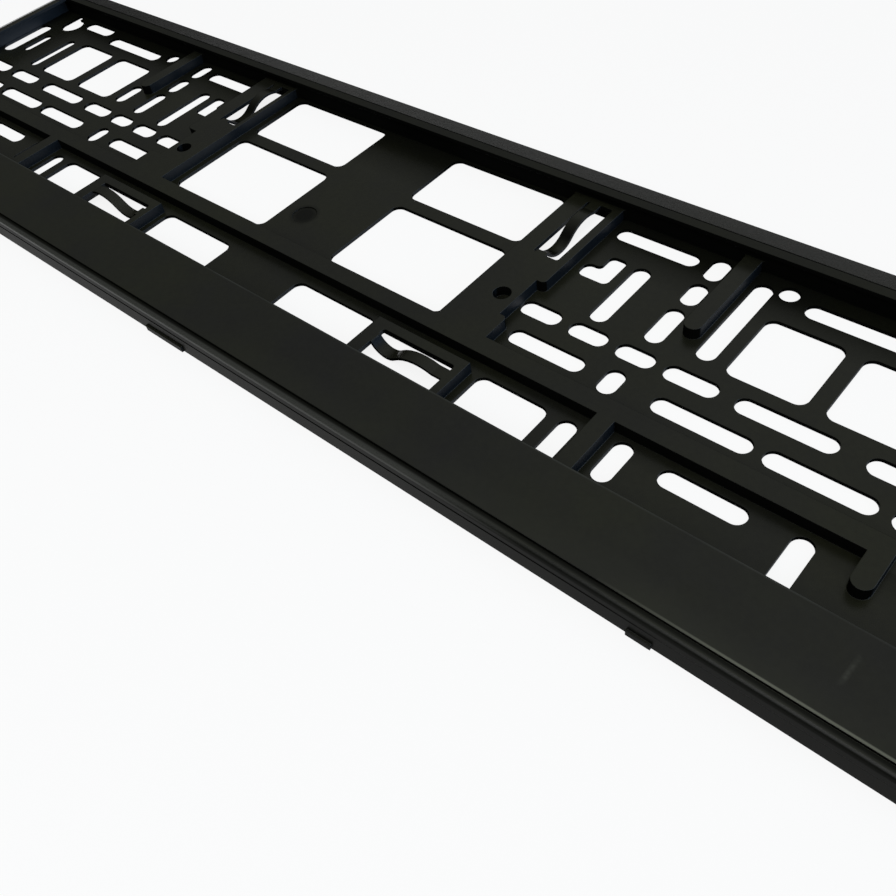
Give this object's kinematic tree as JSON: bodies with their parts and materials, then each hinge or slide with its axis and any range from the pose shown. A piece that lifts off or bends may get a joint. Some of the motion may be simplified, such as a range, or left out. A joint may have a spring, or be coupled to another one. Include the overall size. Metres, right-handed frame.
{
  "type": "number plate holder",
  "caption": "Flat perforated plastic holder for a car number plate, with a lipped rim on three sides and a clip-on cover strip along the bottom.",
  "frame": {"origin": "middle of the outline at the back face", "axes": "+X along the plate, +Y towards the plate's upper edge, +Z out of the front; the holder lies on its back"},
  "size_m": [0.5392, 0.1466, 0.0102],
  "materials": {
    "base_plastic": "satin black moulded plastic with a faint olive cast",
    "strip_plastic": "smooth satin black moulded plastic"
  },
  "bodies": {
    "root": {"base_carrier": "base_plastic", "cover_strip": "strip_plastic"}
  },
  "joints": []
}
